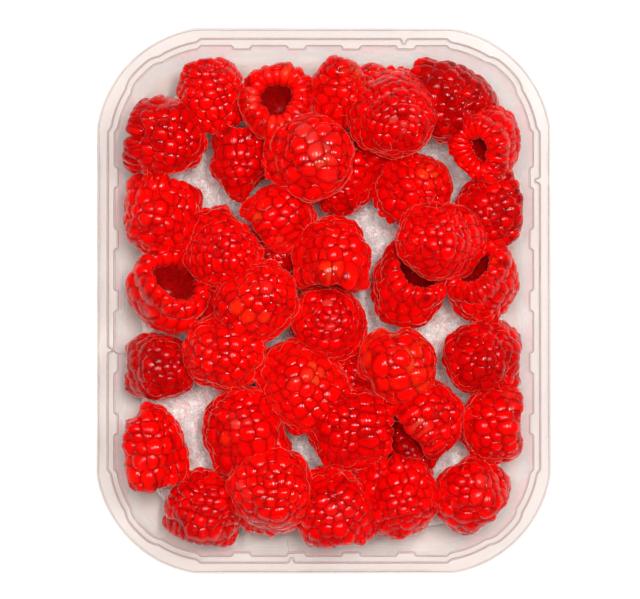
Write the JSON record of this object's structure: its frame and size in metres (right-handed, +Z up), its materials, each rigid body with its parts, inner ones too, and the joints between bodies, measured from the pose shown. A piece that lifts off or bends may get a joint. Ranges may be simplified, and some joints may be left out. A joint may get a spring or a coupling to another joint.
{
  "type": "punnet of raspberries",
  "caption": "Clear ribbed tray with a wide flat flange, heaped with raspberries on a white absorbent pad and open at the top.",
  "frame": {"origin": "middle of the tray's underside, on the surface that it stands on", "axes": "+Z up, +Y along the tray's long side, +X along its short side"},
  "size_m": [0.119, 0.143, 0.042],
  "materials": {
    "clear_plastic": "clear, glossy, thin formed sheet",
    "pad": "soft, embossed, matt",
    "fruit": "bright red, softly glossy, finely hairy"
  },
  "bodies": {
    "root": {"punnet": "clear_plastic", "pad": "pad", "raspberries": "fruit"}
  },
  "joints": []
}
